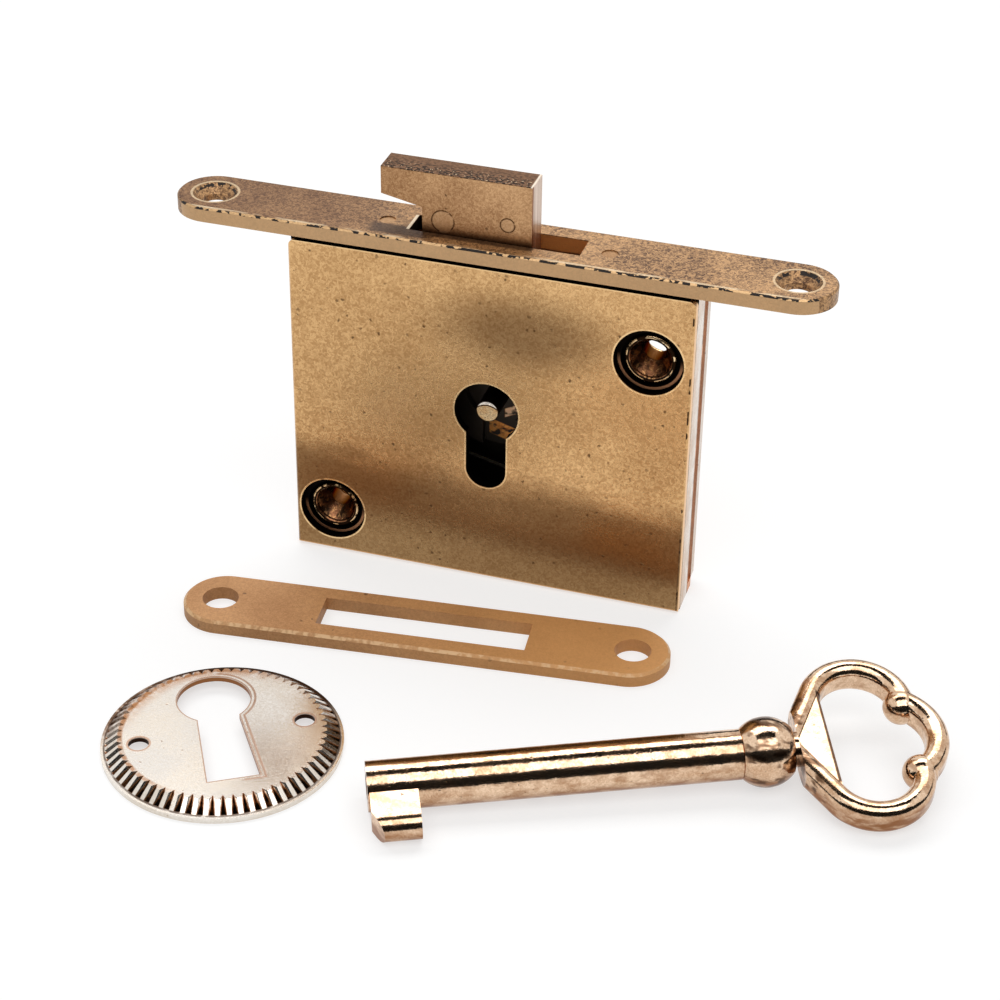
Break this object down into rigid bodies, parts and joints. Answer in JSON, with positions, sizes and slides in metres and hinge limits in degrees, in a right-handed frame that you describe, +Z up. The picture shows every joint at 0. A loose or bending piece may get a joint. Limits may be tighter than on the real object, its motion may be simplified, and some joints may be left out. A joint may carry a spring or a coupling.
{
  "type": "chest lock",
  "caption": "Full-mortise chest lock with a hook bolt on a round-ended top plate, laid out with its slotted strike plate, ribbed round escutcheon and barrel key.",
  "frame": {"origin": "on the table, under the middle of the lock's case", "axes": "+X along the top plate to the right as seen from the face, +Y from the face to the back, +Z up"},
  "size_m": [0.1121, 0.0702, 0.0592],
  "materials": {
    "case_brass": "fine-ground, slightly pitted",
    "frame_brass": "ground",
    "plate_brass": "fine-ground",
    "bolt_brass": "milled, with a sawn top",
    "works_brass": "stamped",
    "rivet_brass": "rolled",
    "pin_steel": "turned",
    "spring_steel": "rolled",
    "strike_brass": "fine-ground",
    "escutcheon_brass": "polished",
    "key_brass": "polished"
  },
  "bodies": {
    "lock": {"case_frame": "frame_brass", "rear_case": "frame_brass", "front_cover": "case_brass", "selvedge_plate": "plate_brass", "selvedge_rivets": "plate_brass", "hollow_rivet_upper": "rivet_brass", "hollow_rivet_lower": "rivet_brass", "drill_pin": "pin_steel", "guide_post": "pin_steel"},
    "driver": {"driver_cam": "works_brass", "crank_pin": "pin_steel"},
    "bolt": {"hook_bolt": "bolt_brass", "bolt_plate": "works_brass", "bolt_rivet_large": "bolt_brass", "bolt_rivet_small": "bolt_brass", "friction_spring": "spring_steel", "spring_rivet": "spring_steel"},
    "strike": {"strike_plate": "strike_brass"},
    "escutcheon": {"escutcheon": "escutcheon_brass"},
    "key": {"key_barrel": "key_brass", "key_bit": "key_brass", "key_collar": "key_brass", "key_bow": "key_brass"}
  },
  "joints": [
    {"name": "driver_turn", "type": "hinge", "parent": "lock", "child": "driver", "pos_m": [0, 0, 0.0266], "axis": [0, 1, 0], "range_deg": [0, 116]},
    {"name": "bolt_swing", "type": "hinge", "parent": "driver", "child": "bolt", "pos_m": [0, 0, 0.0326], "axis": [0, 1, 0], "range_deg": [-116, 0]},
    {"name": "strike_lift", "type": "slide", "parent": "lock", "child": "strike", "axis": [0, 0, 1], "range_m": [0, 0.06]},
    {"name": "escutcheon_lift", "type": "slide", "parent": "lock", "child": "escutcheon", "axis": [0, 0, 1], "range_m": [0, 0.06]},
    {"name": "key_lift", "type": "slide", "parent": "lock", "child": "key", "axis": [0, 0, 1], "range_m": [0, 0.06]}
  ],
  "couplings": [
    {"joint": "bolt_swing", "follows": "driver_turn", "ratio": -1}
  ]
}
